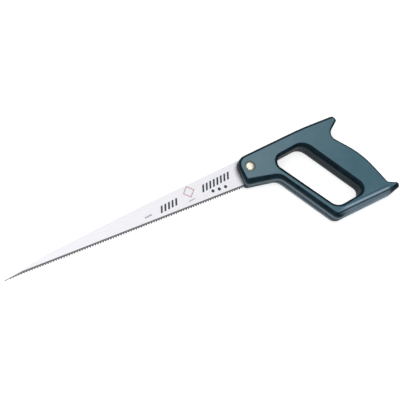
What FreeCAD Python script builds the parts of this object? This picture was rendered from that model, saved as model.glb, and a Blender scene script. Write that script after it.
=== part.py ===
import FreeCAD, Part
import math
import os

# Compass saw (hand saw) with a closed pistol handle. Millimetres, +Z up.
# The saw lies flat on its right cheek: +X runs along the tooth line from the toe to the butt,
# +Y from the teeth to the back of the blade, and z = 0 is the face that it rests on.
# Shapes are drawn with the tooth line's own datum and moved to the row frame at the end.

# Whole saw
THICKNESS = 25.0                      # across both cheeks of the handle
MID = THICKNESS / 2.0                 # the joint face between the shells, and the blade's middle
ORIGIN_X = -4.25                      # the point of the drawing that is the row frame's origin
ORIGIN_Y = -23.93

# Handle shells
EDGE_ROUND = 3.0                      # rounding of the outer edges
HOLE_ROUND = 6.0                      # rounding of the hand hole's edges
JOINT_BREAK = 0.5                     # chamfer along the joint line between the shells
WALL = 2.8                            # side walls
CHEEK = 3.0                           # cheek walls
RIB = 2.0                             # stiffening ribs
RIB_GAP = 1.2                         # how far the ribs stay below the joint face
NOSE_X = 57.5                         # front face of the handle

# Blade
BLADE_THICKNESS = 1.0
BLADE_HEEL_X = 57.2                   # the shoulder, just clear of the handle's nose
TOOTH_LINE_Y = -5.6
TOOTH_PITCH = 25.4 / 8.0              # 8 teeth to the inch
TOOTH_DEPTH = 2.2
TOOTH_COUNT = 93
TOE_X = -243.0
FIRST_TOOTH_SETBACK = 1.0             # from the shoulder to the first tooth's tip
GULLET_LEAN = 0.35                    # where the gullet lies, as a share of the pitch towards the toe
TOE_RUN_OUT = 25.0                    # length over which the teeth get shallower at the toe

# Tang, its slot and its guide in the shells
TANG_LOW = 2.0
TANG_HIGH = 23.0
TANG_END_X = 97.0
TANG_CORNER = 4.0
TANG_OVERLAP = 2.0                    # how far the tang's block reaches into the blade
SHOULDER_END_X = 66.0                 # past where the blade's back runs out over the nose
TANG_SLOT_RADIUS = 3.7
TANG_CLEARANCE = 0.1                  # on each face of the tang
RAIL_CLEARANCE = 0.3                  # on each edge of the tang

# Blade screw, cup washer and post nut
SCREW_X = 69.7
SCREW_Y = 13.6
RECESS_RADIUS = 6.15
WASHER_RADIUS = 6.0
WASHER_THICKNESS = 1.4
WASHER_BORE = 2.9
LEFT_RECESS = 1.8
SCREW_HEAD_RADIUS = 4.5
SCREW_DOME = 0.45
SCREW_SHANK_RADIUS = 2.45
SCREW_LENGTH = 12.0
SLOT_WIDTH = 1.3
SLOT_DEPTH = 0.9
SLOT_TURN = 20.0                      # resting direction of the screw's slot, degrees
NUT_HEAD_RADIUS = 6.0
NUT_HEAD_THICKNESS = 1.8
RIGHT_RECESS = 2.0
NUT_BARREL_RADIUS = 3.5
NUT_BORE_RADIUS = 2.5
NUT_TOP = 21.5
NUT_BORE_BOTTOM = 9.0
EDGE_BREAK = 0.3                      # small chamfer on the turned brass edges
CUP_LIP = 0.15                        # gap between the screw's head and the cup's lip
HEAD_TAPER = 0.75                     # rise of the screw head's cone for each millimetre of radius
SHANK_CHAMFER = 0.6
BARREL_CLEARANCE = 0.1
BOSS_RADIUS = 7.5

# Self-tapping screws that hold the shells together, driven from the right cheek
SHELL_SCREW_RADIUS = 1.75
SHELL_SCREW_LENGTH = 15.0
SHELL_SCREW_HEAD_RADIUS = 3.2
SHELL_SCREW_HEAD_HEIGHT = 2.2
SHELL_SCREW_SEAT = 4.2                # height of the head's seat above the right cheek
SHELL_SCREW_POINT = 2.0               # length of the pointed tip
SHELL_SCREW_BEVEL = 0.8               # bevel round the head
PILOT_DEPTH = 1.0                     # how far the pilot hole runs past the screw's tip
SHELL_BOSS_RADIUS = 4.6
SHELL_SCREW_PLACES = [(90.0, -2.5), (177.0, 22.5), (207.0, -69.0), (143.6, -73.6)]
PILOT_CLEARANCE = 0.05
CROSS_WIDTH = 0.9
CROSS_DEPTH = 1.3
CROSS_SPAN = 4.0

# Outer outline of the handle: corner x, corner y, rounding radius
OUTER_CORNERS = [
    (NOSE_X, 27.6, 12.0),             # top of the nose
    (NOSE_X, -6.0, 5.0),              # foot of the nose
    (99.2, -12.3, 15.0),              # where the knuckle bar leaves the underside
    (142.3, -83.8, 10.0),             # front corner of the butt
    (220.5, -78.9, 20.0),             # where the lower horn starts
    (234.5, -75.0, 3.2),              # end of the lower horn
    (234.5, -70.0, 3.2),
    (221.8, -65.0, 4.0),              # hollow above the lower horn
    (207.2, -20.7, 110.0),            # heel of the palm
    (177.9, 14.7, 9.0),               # hollow under the upper horn
    (197.5, 29.0, 3.2),               # tip of the upper horn
    (194.0, 35.6, 3.4),
    (150.0, 35.1, 400.0),             # gentle crown of the top edge
]

# Hand hole: corner x, corner y, rounding radius
HOLE_CORNERS = [
    (98.5, 10.4, 8.0),
    (142.2, 15.9, 15.0),
    (191.2, -64.6, 8.0),
    (149.3, -69.8, 14.0),
]

# Back of the blade from heel to toe: x, y, rounding radius
BACK_CORNERS = [(-65.0, 18.3, 900.0), (-190.0, 5.9, 300.0)]
HEEL_BACK_Y = 27.4
TOE_BACK_Y = -4.4

# Ribs across the hollow of each shell: middle x, middle y, direction in degrees
RIBS = [
    (106.0, 22.0, 90.0),
    (128.0, 24.0, 90.0),
    (153.0, 22.0, 70.0),
    (171.0, 2.0, 35.0),
    (184.0, -20.0, 31.0),
    (195.0, -42.0, 25.0),
    (186.0, -74.0, 90.0),
    (166.0, -75.0, 90.0),
    (113.5, -20.0, 31.0),
    (130.0, -47.0, 31.0),
]
RIB_LENGTH = 46.0


def vector(x, y, z=0.0):
    return FreeCAD.Vector(x, y, z)


def corner_arc(before, corner, after):
    """Start, middle and end of the arc that rounds a corner, each as a point."""
    here = vector(corner[0], corner[1])
    arriving = (here - vector(before[0], before[1])).normalize()
    leaving = (vector(after[0], after[1]) - here).normalize()
    half_turn = arriving.getAngle(leaving) / 2.0
    tangent = corner[2] * math.tan(half_turn)
    inward = (leaving - arriving).normalize()
    depth = corner[2] * (1.0 / math.cos(half_turn) - 1.0)
    return here - arriving * tangent, here + inward * depth, here + leaving * tangent


def rounded_outline(corners):
    """Closed wire of straight runs and tangent arcs round a list of (x, y, radius)."""
    count = len(corners)
    arcs = [corner_arc(corners[i - 1], corners[i], corners[(i + 1) % count]) for i in range(count)]
    edges = []
    for i, (start, middle, end) in enumerate(arcs):
        edges.append(Part.Arc(start, middle, end).toShape())
        edges.append(Part.LineSegment(end, arcs[(i + 1) % count][0]).toShape())
    return Part.Wire(edges)


def prism(wires, bottom, top):
    """Straight block over a face bounded by the first wire, with the others as holes."""
    face = Part.makeFace(wires, "Part::FaceMakerBullseye")
    face.translate(vector(0, 0, bottom))
    return face.extrude(vector(0, 0, top - bottom))


def cylinder(x, y, radius, bottom, top):
    return Part.makeCylinder(radius, top - bottom, vector(x, y, bottom))


def turned(x, y, profile):
    """Solid of revolution about the upright line through x, y, from (radius, height) points."""
    points = [vector(radius, 0, height) for radius, height in profile]
    face = Part.Face(Part.makePolygon(points + points[:1]))
    solid = face.revolve(vector(0, 0, 0), vector(0, 0, 1), 360)
    solid.translate(vector(x, y, 0))
    return solid


def edges_at_height(shape, height):
    """Edges that lie wholly in one level plane."""
    flat = []
    for edge in shape.Edges:
        box = edge.BoundBox
        if abs(box.ZMin - height) < 1e-4 and abs(box.ZMax - height) < 1e-4:
            flat.append(edge)
    return flat


def on_outline(edge, outline):
    """True for an edge whose middle lies over a level outline."""
    middle = edge.valueAt((edge.FirstParameter + edge.LastParameter) / 2.0)
    distance = Part.Vertex(middle.x, middle.y, 0.0).distToShape(outline)[0]
    return distance < 1e-3


def rounded_ring():
    """Half of the handle as one solid ring, rounded at the cheek and broken at the joint face."""
    outer = rounded_outline(OUTER_CORNERS)
    hole = rounded_outline(HOLE_CORNERS)
    ring = prism([outer, hole], 0.0, MID)
    ring = ring.makeFillet(EDGE_ROUND, [e for e in edges_at_height(ring, 0.0) if on_outline(e, outer)])
    ring = ring.makeFillet(HOLE_ROUND, [e for e in edges_at_height(ring, 0.0) if on_outline(e, hole)])
    ring = ring.makeChamfer(JOINT_BREAK, edges_at_height(ring, MID))
    return ring.Solids[0]


def hollow(top):
    """Space between the side walls, from the cheek wall up to a height."""
    outer_face = Part.makeFace([rounded_outline(OUTER_CORNERS)], "Part::FaceMakerBullseye")
    hole_face = Part.makeFace([rounded_outline(HOLE_CORNERS)], "Part::FaceMakerBullseye")
    inner_edge = outer_face.makeOffset2D(-WALL).OuterWire
    hole_wall = hole_face.makeOffset2D(WALL).OuterWire
    return prism([inner_edge, hole_wall], CHEEK, top)


def rib_bars():
    """Upright bars on every rib line, wider than the handle."""
    bars = []
    for x, y, direction in RIBS:
        bar = Part.makeBox(RIB_LENGTH, RIB, MID, vector(-RIB_LENGTH / 2.0, -RIB / 2.0))
        bar.rotate(vector(0, 0), vector(0, 0, 1), direction)
        bar.translate(vector(x, y))
        bars.append(bar)
    return bars


def tang_rails():
    """Two bars that guide the tang's edges."""
    length = TANG_END_X - NOSE_X
    low = Part.makeBox(length, RIB, MID, vector(NOSE_X, TANG_LOW - RAIL_CLEARANCE - RIB))
    high = Part.makeBox(length, RIB, MID, vector(NOSE_X, TANG_HIGH + RAIL_CLEARANCE))
    return [low, high]


def tang_passage():
    """Space that the tang needs, through the nose and over the bosses."""
    gap = BLADE_THICKNESS / 2.0 + TANG_CLEARANCE
    depth = TANG_END_X + RAIL_CLEARANCE - NOSE_X + 1.0
    height = TANG_HIGH - TANG_LOW + 2.0 * RAIL_CLEARANCE
    return Part.makeBox(depth, height, 2.0 * gap, vector(NOSE_X - 1.0, TANG_LOW - RAIL_CLEARANCE, MID - gap))


def shell_blank():
    """Tray with side walls, ribs, rails and plain bosses, open at the joint face."""
    space = hollow(MID)
    inside = rounded_ring().cut(space)
    full_bosses = [cylinder(x, y, SHELL_BOSS_RADIUS, 0.0, MID) for x, y in SHELL_SCREW_PLACES]
    full_bosses.append(cylinder(SCREW_X, SCREW_Y, BOSS_RADIUS, 0.0, MID))
    low_ribs = [bar.common(hollow(MID - RIB_GAP)) for bar in rib_bars()]
    full_height = [piece.common(space) for piece in full_bosses + tang_rails()]
    blank = inside.fuse(full_height + low_ribs)
    return blank.cut(tang_passage()).removeSplitter().Solids[0]


def handle_right_shell():
    """Shell that the saw rests on: holds the post nut's head and takes the shell screws' heads."""
    shell = shell_blank()
    cutters = [
        cylinder(SCREW_X, SCREW_Y, RECESS_RADIUS, -1.0, RIGHT_RECESS),
        cylinder(SCREW_X, SCREW_Y, NUT_BARREL_RADIUS + BARREL_CLEARANCE, 0.0, MID),
    ]
    for x, y in SHELL_SCREW_PLACES:
        cutters.append(cylinder(x, y, SHELL_SCREW_HEAD_RADIUS + BARREL_CLEARANCE, -1.0, SHELL_SCREW_SEAT))
        cutters.append(cylinder(x, y, SHELL_SCREW_RADIUS + BARREL_CLEARANCE, 0.0, MID))
    return shell.cut(cutters)


def handle_left_shell():
    """Facing shell: takes the cup washer in its cheek and the screws' threads in its bosses."""
    shell = shell_blank().mirror(vector(0, 0, MID), vector(0, 0, 1))
    cutters = [
        cylinder(SCREW_X, SCREW_Y, RECESS_RADIUS, THICKNESS - LEFT_RECESS, THICKNESS + 1.0),
        cylinder(SCREW_X, SCREW_Y, NUT_BARREL_RADIUS + BARREL_CLEARANCE, MID, NUT_TOP + BARREL_CLEARANCE),
        cylinder(SCREW_X, SCREW_Y, WASHER_BORE, MID, THICKNESS),
    ]
    pilot_top = SHELL_SCREW_SEAT + SHELL_SCREW_LENGTH + PILOT_DEPTH
    for x, y in SHELL_SCREW_PLACES:
        cutters.append(cylinder(x, y, SHELL_SCREW_RADIUS + PILOT_CLEARANCE, MID, pilot_top))
    return shell.cut(cutters)


def tooth_points():
    """Zigzag of the teeth from the heel to the toe, shallower where the toe runs out."""
    points = []
    for i in range(TOOTH_COUNT):
        tip_x = BLADE_HEEL_X - FIRST_TOOTH_SETBACK - i * TOOTH_PITCH
        depth = TOOTH_DEPTH * min(1.0, (tip_x - TOE_X) / TOE_RUN_OUT)
        points.append(vector(tip_x, TOOTH_LINE_Y))
        points.append(vector(tip_x - TOOTH_PITCH * GULLET_LEAN, TOOTH_LINE_Y + depth))
    return points


def blade():
    """Tapered blade with a toothed edge, and a tang with an open slot for the post nut."""
    toe = vector(TOE_X, TOE_BACK_Y)
    heel = vector(BLADE_HEEL_X, HEEL_BACK_Y)
    corners = [(heel.x, heel.y, 0.0)] + BACK_CORNERS + [(toe.x, toe.y, 0.0)]
    edges = []
    last = heel
    for before, corner, after in zip(corners, corners[1:], corners[2:]):
        start, middle, end = corner_arc(before, corner, after)
        edges.append(Part.LineSegment(last, start).toShape())
        edges.append(Part.Arc(start, middle, end).toShape())
        last = end
    edges.append(Part.LineSegment(last, toe).toShape())
    teeth = tooth_points()
    rim = [toe, vector(TOE_X, TOOTH_LINE_Y)] + teeth[::-1] + [vector(BLADE_HEEL_X, TOOTH_LINE_Y), heel]
    edges += [Part.LineSegment(a, b).toShape() for a, b in zip(rim, rim[1:])]
    low = MID - BLADE_THICKNESS / 2.0
    high = MID + BLADE_THICKNESS / 2.0
    body = prism([Part.Wire(edges)], low, high)
    return body.fuse([shoulder(low, high), tang(low, high)]).removeSplitter()


def shoulder(low, high):
    """The blade's back carried on over the nose, ending in an arc that follows the nose at a small gap."""
    end = corner_arc(OUTER_CORNERS[-1], OUTER_CORNERS[0], OUTER_CORNERS[1])[2]
    radius = OUTER_CORNERS[0][2]
    reach = radius + NOSE_X - BLADE_HEEL_X
    slope = (HEEL_BACK_Y - BACK_CORNERS[0][1]) / (BLADE_HEEL_X - BACK_CORNERS[0][0])
    foot = TANG_HIGH - 1.0
    top = HEEL_BACK_Y + slope * (SHOULDER_END_X - BLADE_HEEL_X)
    corners = [
        vector(BLADE_HEEL_X, foot),
        vector(SHOULDER_END_X, foot),
        vector(SHOULDER_END_X, top),
        vector(BLADE_HEEL_X, HEEL_BACK_Y),
        vector(BLADE_HEEL_X, foot),
    ]
    nose = cylinder(NOSE_X + radius, end.y, reach, low, high)
    return prism([Part.makePolygon(corners)], low, high).cut(nose)


def tang(low, high):
    """Rounded tongue behind the blade, forked by the slot that slides over the post nut."""
    root_x = BLADE_HEEL_X - TANG_OVERLAP
    corners = [
        (root_x, TANG_LOW, 0.1),
        (TANG_END_X, TANG_LOW, TANG_CORNER),
        (TANG_END_X, TANG_HIGH, TANG_CORNER),
        (root_x, TANG_HIGH, 0.1),
    ]
    tongue = prism([rounded_outline(corners)], low, high)
    slot = cylinder(SCREW_X, SCREW_Y, TANG_SLOT_RADIUS, low, high)
    mouth = Part.makeBox(
        TANG_END_X - SCREW_X + 1.0, 2.0 * TANG_SLOT_RADIUS, high - low,
        vector(SCREW_X, SCREW_Y - TANG_SLOT_RADIUS, low))
    return tongue.cut([slot, mouth])


def cup_washer():
    """Brass cup washer let into the left cheek, coned to seat the screw's head."""
    seat = THICKNESS - LEFT_RECESS
    top = seat + WASHER_THICKNESS
    return turned(SCREW_X, SCREW_Y, [
        (WASHER_BORE, seat), (WASHER_RADIUS, seat), (WASHER_RADIUS, top - EDGE_BREAK),
        (WASHER_RADIUS - EDGE_BREAK, top), (SCREW_HEAD_RADIUS + CUP_LIP, top), (WASHER_BORE, seat + CUP_LIP)])


def blade_screw():
    """Slotted raised-head brass screw that clamps the shells on the tang."""
    top = THICKNESS - LEFT_RECESS + WASHER_THICKNESS
    neck = top - (SCREW_HEAD_RADIUS - SCREW_SHANK_RADIUS) * HEAD_TAPER
    head = turned(SCREW_X, SCREW_Y, [
        (0.0, top - SCREW_LENGTH), (SCREW_SHANK_RADIUS - SHANK_CHAMFER, top - SCREW_LENGTH),
        (SCREW_SHANK_RADIUS, top - SCREW_LENGTH + SHANK_CHAMFER), (SCREW_SHANK_RADIUS, neck),
        (SCREW_HEAD_RADIUS, top), (0.0, top)])
    dome_radius = (SCREW_HEAD_RADIUS ** 2 + SCREW_DOME ** 2) / (2.0 * SCREW_DOME)
    dome = Part.makeSphere(dome_radius, vector(SCREW_X, SCREW_Y, top + SCREW_DOME - dome_radius))
    cap = dome.common(cylinder(SCREW_X, SCREW_Y, SCREW_HEAD_RADIUS, top, top + SCREW_DOME))
    slot = Part.makeBox(
        2.0 * SCREW_HEAD_RADIUS + 2.0, SLOT_WIDTH, SLOT_DEPTH + 1.0,
        vector(-SCREW_HEAD_RADIUS - 1.0, -SLOT_WIDTH / 2.0, top + SCREW_DOME - SLOT_DEPTH))
    slot.rotate(vector(0, 0), vector(0, 0, 1), SLOT_TURN)
    slot.translate(vector(SCREW_X, SCREW_Y))
    return head.fuse(cap).cut(slot).removeSplitter()


def post_nut():
    """Brass post nut: flat head in the right cheek, threaded barrel through tang and shells."""
    face = RIGHT_RECESS - NUT_HEAD_THICKNESS
    body = turned(SCREW_X, SCREW_Y, [
        (0.0, face), (NUT_HEAD_RADIUS - EDGE_BREAK, face), (NUT_HEAD_RADIUS, face + EDGE_BREAK),
        (NUT_HEAD_RADIUS, RIGHT_RECESS), (NUT_BARREL_RADIUS, RIGHT_RECESS),
        (NUT_BARREL_RADIUS, NUT_TOP), (NUT_BORE_RADIUS, NUT_TOP),
        (NUT_BORE_RADIUS, NUT_BORE_BOTTOM), (0.0, NUT_BORE_BOTTOM - 1.0)])
    slot = Part.makeBox(
        2.0 * NUT_HEAD_RADIUS, SLOT_WIDTH, SLOT_DEPTH,
        vector(SCREW_X - NUT_HEAD_RADIUS, SCREW_Y - SLOT_WIDTH / 2.0, face))
    return body.cut(slot)


def shell_screw(x, y):
    """Pan-head self-tapping screw, head down in its counterbore in the right cheek."""
    head_face = SHELL_SCREW_SEAT - SHELL_SCREW_HEAD_HEIGHT
    tip = SHELL_SCREW_SEAT + SHELL_SCREW_LENGTH
    body = turned(x, y, [
        (0.0, head_face), (SHELL_SCREW_HEAD_RADIUS - SHELL_SCREW_BEVEL, head_face),
        (SHELL_SCREW_HEAD_RADIUS, head_face + SHELL_SCREW_BEVEL), (SHELL_SCREW_HEAD_RADIUS, SHELL_SCREW_SEAT),
        (SHELL_SCREW_RADIUS, SHELL_SCREW_SEAT), (SHELL_SCREW_RADIUS, tip - SHELL_SCREW_POINT), (0.0, tip)])
    arms = []
    corner = vector(-CROSS_SPAN / 2.0, -CROSS_WIDTH / 2.0, head_face)
    for direction in (45.0, 135.0):
        arm = Part.makeBox(CROSS_SPAN, CROSS_WIDTH, CROSS_DEPTH, corner)
        arm.rotate(vector(0, 0), vector(0, 0, 1), direction)
        arm.translate(vector(x, y))
        arms.append(arm)
    return body.cut(arms)


def shell_screws():
    """The identical shell screws as one group of separate solids."""
    return Part.makeCompound([shell_screw(x, y) for x, y in SHELL_SCREW_PLACES])


PARTS = {
    "blade": blade,
    "handle_left_shell": handle_left_shell,
    "handle_right_shell": handle_right_shell,
    "blade_screw": blade_screw,
    "cup_washer": cup_washer,
    "post_nut": post_nut,
    "shell_screws": shell_screws,
}

os.makedirs("parts", exist_ok=True)
for name, make in PARTS.items():
    shape = make()
    shape.translate(vector(-ORIGIN_X, -ORIGIN_Y))
    shape.exportStep("parts/" + name + ".step")
    print(name, "solids", len(shape.Solids), "volume", round(shape.Volume, 1), "valid", shape.isValid())
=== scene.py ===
# %% [markdown]
# # A compass saw with a moulded pistol handle
# The saw lies flat on its right cheek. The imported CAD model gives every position: where the blade, the
# handle, the brass screw and its nut are, and which of them move. This lesson puts finished surfaces
# round that frame. Most pieces are surfaces worked out with numpy, because a saw is made of two kinds of
# shape: outlines whose edges are rounded over, and turned parts.

# %% Load the frame
import math
import bmesh
import bpy
import numpy as np
from mathutils import Matrix, Vector


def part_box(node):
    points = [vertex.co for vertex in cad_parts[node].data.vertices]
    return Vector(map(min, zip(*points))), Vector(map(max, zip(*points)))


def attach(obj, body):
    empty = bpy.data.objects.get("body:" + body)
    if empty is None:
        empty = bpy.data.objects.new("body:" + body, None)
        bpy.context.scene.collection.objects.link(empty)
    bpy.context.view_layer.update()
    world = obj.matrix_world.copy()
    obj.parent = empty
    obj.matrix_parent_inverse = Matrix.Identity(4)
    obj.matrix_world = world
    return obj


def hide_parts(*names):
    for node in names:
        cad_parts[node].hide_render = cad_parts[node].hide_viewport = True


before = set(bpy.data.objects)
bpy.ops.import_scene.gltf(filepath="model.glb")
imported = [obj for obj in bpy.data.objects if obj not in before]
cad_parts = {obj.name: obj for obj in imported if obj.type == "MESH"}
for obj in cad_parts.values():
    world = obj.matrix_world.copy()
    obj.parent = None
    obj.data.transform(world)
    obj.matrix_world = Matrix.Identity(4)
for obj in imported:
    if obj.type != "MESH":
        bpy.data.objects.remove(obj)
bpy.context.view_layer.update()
MM = 0.001

# %% [markdown]
# ## Where things are
# A drawing needs a datum. Here x runs back into the handle from its flat nose, and y runs up from a line
# near the teeth, 17.6 mm below the screw, so that every outline below can be read with a ruler.

# %% The drawing's datum
left_low, left_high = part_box("handle_left_shell")
right_low, right_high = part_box("handle_right_shell")
blade_low, blade_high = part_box("blade")
nut_low, nut_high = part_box("post_nut")
NOSE_X = left_low.x
REST_Z = right_low.z
CHEEK_Z = right_low.z + 2.0 * (right_high.z - right_low.z)
JOINT_Z = right_high.z
SCREW_X = (nut_low.x + nut_high.x) / 2.0
SCREW_Y = (nut_low.y + nut_high.y) / 2.0
DATUM_Y = SCREW_Y - 17.6 * MM
BLADE_HALF = (blade_high.z - blade_low.z) / 2.0
print("handle thickness mm", round((CHEEK_Z - REST_Z) / MM, 2), "nose x mm", round(NOSE_X / MM, 2))


def place(points):
    """Drawing millimetres to metres in the row frame."""
    return np.asarray(points, float)[..., :2] * MM + np.array([NOSE_X, DATUM_Y])


# %% [markdown]
# ## Camera
# The saw is seen from above its toe, with the camera rolled so that the blade rises to the right. A long
# lens keeps the far handle from shrinking. Turn, height and roll are angles, and the camera's three axes
# follow from them.

# %% Camera
VIEW_TURN = math.radians(-57.62)
VIEW_HEIGHT = math.radians(69.37)
VIEW_ROLL = math.radians(34.59)
VIEW_DISTANCE = 1.290
AIM = Vector((4.25 * MM, 23.93 * MM, JOINT_Z))
LENS = 100.0


def add_camera():
    """Back axis from turn and height, a level right axis turned about it by the roll, and up from both."""
    back = Vector((math.cos(VIEW_HEIGHT) * math.sin(VIEW_TURN),
                   -math.cos(VIEW_HEIGHT) * math.cos(VIEW_TURN), math.sin(VIEW_HEIGHT)))
    level = Vector((math.cos(VIEW_TURN), math.sin(VIEW_TURN), 0.0))
    right = level * math.cos(VIEW_ROLL) + back.cross(level) * math.sin(VIEW_ROLL)
    axes = Matrix((right, back.cross(right), back)).transposed()
    camera_data = bpy.data.cameras.new("view")
    camera_data.lens = LENS
    camera = bpy.data.objects.new("view", camera_data)
    camera.matrix_world = Matrix.Translation(AIM + back * VIEW_DISTANCE) @ axes.to_4x4()
    bpy.context.scene.collection.objects.link(camera)
    bpy.context.scene.camera = camera
    return camera


print("camera at", [round(v, 3) for v in add_camera().matrix_world.translation])

# %% [markdown]
# ## Floor and light
# A light table and one big soft box overhead, placed where the flat cheeks mirror it into the camera, so
# the plastic and the steel read as satin. The table glows a little, as product tables do, which takes
# the shadows out. The room round it is dim, so that edges which turn away from the soft box fall dark
# and draw the outline.

# %% Floor and lights
FLOOR_SIZE = 40.0
FLOOR_DROP = 0.05 * MM
FLOOR_GLOW = 0.62
ROOM_GLOW = 0.10


def add_area(name, where, aim, size, power):
    """Square area light that looks from one point at another."""
    data = bpy.data.lights.new(name, "AREA")
    data.shape = "SQUARE"
    data.size = size
    data.energy = power
    lamp = bpy.data.objects.new(name, data)
    lamp.location = where
    lamp.rotation_euler = (Vector(aim) - Vector(where)).to_track_quat("-Z", "Y").to_euler()
    bpy.context.scene.collection.objects.link(lamp)
    return lamp


def add_floor():
    """Wide square table just under the saw, white and glowing a little."""
    half = FLOOR_SIZE / 2.0
    mesh = bpy.data.meshes.new("table")
    z = REST_Z - FLOOR_DROP
    corners = [(-half, -half, z), (half, -half, z), (half, half, z), (-half, half, z)]
    mesh.from_pydata(corners, [], [(0, 1, 2, 3)])
    floor = bpy.data.objects.new("table", mesh)
    bpy.context.scene.collection.objects.link(floor)
    paint = bpy.data.materials.new("white_table")
    paint.use_nodes = True
    shader = paint.node_tree.nodes["Principled BSDF"]
    shader.inputs["Base Color"].default_value = (0.9, 0.9, 0.9, 1.0)
    shader.inputs["Roughness"].default_value = 0.9
    shader.inputs["Specular IOR Level"].default_value = 0.1
    shader.inputs["Emission Color"].default_value = (1.0, 1.0, 1.0, 1.0)
    shader.inputs["Emission Strength"].default_value = FLOOR_GLOW
    mesh.materials.append(paint)


def add_world(strength):
    """Even white light from all round, at the given strength."""
    world = bpy.data.worlds.new("dim_room")
    world.use_nodes = True
    world.node_tree.nodes["Background"].inputs["Color"].default_value = (1.0, 1.0, 1.0, 1.0)
    world.node_tree.nodes["Background"].inputs["Strength"].default_value = strength
    bpy.context.scene.world = world


add_floor()
add_world(ROOM_GLOW)
add_area("soft_box", (-0.75, 0.42, 2.05), (-0.75, 0.1, 0.0), 4.4, 66.0)
add_area("low_front", (-0.5, -1.5, 0.75), (0.1, 0.0, 0.0), 0.5, 2.0)
bpy.context.scene.view_settings.view_transform = "Standard"

# %% [markdown]
# ## Tools for making surfaces
# A few small helpers make every piece. One turns arrays into a mesh, one joins a grid of points with
# quads, one samples a polygon with rounded corners, and one turns a profile about an upright axis.

# %% Mesh helpers
WELD = 1e-7
SHARP = math.radians(32.0)


def grid_quads(rows, columns, closed, first=0):
    """Quads between neighbouring points of a rows by columns grid, joined round if closed."""
    r = np.arange(rows - 1)[:, None]
    c = np.arange(columns if closed else columns - 1)[None, :]
    along = (c + 1) % columns
    here, above = r * columns, (r + 1) * columns
    quads = np.stack([here + c, here + along, above + along, above + c], -1)
    return quads.reshape(-1, 4) + first


def new_piece(name, surfaces, levels=(), sharp=SHARP):
    """Joins (points, closed) grids into one mesh, welds them and fills the level openings at each height."""
    points, quads, first = [], [], 0
    for grid, closed in surfaces:
        points.append(grid.reshape(-1, 3))
        quads.append(grid_quads(grid.shape[0], grid.shape[1], closed, first))
        first += grid.shape[0] * grid.shape[1]
    mesh = bpy.data.meshes.new(name)
    mesh.from_pydata(np.concatenate(points).tolist(), [], np.concatenate(quads).tolist())
    shape = bmesh.new()
    shape.from_mesh(mesh)
    bmesh.ops.remove_doubles(shape, verts=shape.verts, dist=WELD)
    for level in levels:
        rim = [e for e in shape.edges if e.is_boundary and all(abs(v.co.z - level) < 1e-6 for v in e.verts)]
        bmesh.ops.triangle_fill(shape, use_beauty=True, edges=rim)
    bmesh.ops.recalc_face_normals(shape, faces=shape.faces)
    shape.to_mesh(mesh)
    shape.free()
    mesh.shade_smooth()
    mesh.set_sharp_from_angle(angle=sharp)
    piece = bpy.data.objects.new(name, mesh)
    bpy.context.scene.collection.objects.link(piece)
    return piece


def finish_modifiers(piece, sharp=SHARP):
    """Replaces the piece's mesh by what its modifiers make, and removes them."""
    graph = bpy.context.evaluated_depsgraph_get()
    made = bpy.data.meshes.new_from_object(piece.evaluated_get(graph))
    piece.modifiers.clear()
    piece.data = made
    made.shade_smooth()
    made.set_sharp_from_angle(angle=sharp)
    return piece


def cut(piece, cutter):
    """Takes the cutter's volume out of the piece, then deletes the cutter."""
    boolean = piece.modifiers.new("cut", "BOOLEAN")
    boolean.operation = "DIFFERENCE"
    boolean.solver = "EXACT"
    boolean.object = cutter
    finish_modifiers(piece)
    bpy.data.objects.remove(cutter)
    return piece


def block(name, low, high, turn=0.0, about=(0.0, 0.0)):
    """Closed box between two corners, turned about an upright line. Only used as a cutter."""
    x = np.array([low[0], high[0], high[0], low[0]])
    y = np.array([low[1], low[1], high[1], high[1]])
    c, s = math.cos(turn), math.sin(turn)
    dx, dy = x - about[0], y - about[1]
    ring = np.stack([about[0] + c * dx - s * dy, about[1] + s * dx + c * dy], -1)
    grid = np.stack([np.column_stack([ring, np.full(4, z)]) for z in (low[2], high[2])])
    return new_piece(name, [(grid, True)], levels=(low[2], high[2]))


# %% Outline and turning helpers
ARC_STEPS = 14
SIDE_STEPS = 10
TURN_STEPS = 96
TURNED_SHARP = math.radians(28.0)


def rounded_loop(corners):
    """Points round a polygon whose corners are arcs tangent to both sides.
    A corner of radius r that turns by angle a starts r * tan(a / 2) before the corner; its points are the
    start point swung about the arc's centre by 0 to a. Straight sides are shared out evenly."""
    table = np.asarray(corners, float)
    here, radius = table[:, :2], table[:, 2]
    arriving = here - np.roll(here, 1, 0)
    arriving /= np.linalg.norm(arriving, axis=1, keepdims=True)
    leaving = np.roll(arriving, -1, 0)
    cross = arriving[:, 0] * leaving[:, 1] - arriving[:, 1] * leaving[:, 0]
    turn = np.arctan2(cross, (arriving * leaving).sum(1))
    tangent = radius * np.tan(np.abs(turn) / 2.0)
    start = here - arriving * tangent[:, None]
    end = here + leaving * tangent[:, None]
    left = np.stack([-arriving[:, 1], arriving[:, 0]], -1)
    centre = start + left * (np.sign(turn) * radius)[:, None]
    swing = turn[:, None] * np.linspace(0.0, 1.0, ARC_STEPS)[None, :]
    arm = start - centre
    arc = np.stack([arm[:, :1] * np.cos(swing) - arm[:, 1:] * np.sin(swing),
                    arm[:, :1] * np.sin(swing) + arm[:, 1:] * np.cos(swing)], -1) + centre[:, None, :]
    share = np.linspace(0.0, 1.0, SIDE_STEPS + 2)[1:-1]
    side = end[:, None, :] + (np.roll(start, -1, 0) - end)[:, None, :] * share[None, :, None]
    return np.concatenate([arc, side], 1).reshape(-1, 2)


def turned_grid(profile, x, y, steps=TURN_STEPS):
    """A profile of (radius, height) points swung round the upright line through x, y."""
    radius, height = np.asarray(profile, float).T
    angle = np.linspace(0.0, 2.0 * np.pi, steps, endpoint=False)
    grid = np.empty((len(radius), steps, 3))
    grid[..., 0] = x + radius[:, None] * np.cos(angle)
    grid[..., 1] = y + radius[:, None] * np.sin(angle)
    grid[..., 2] = height[:, None]
    return grid


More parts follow.
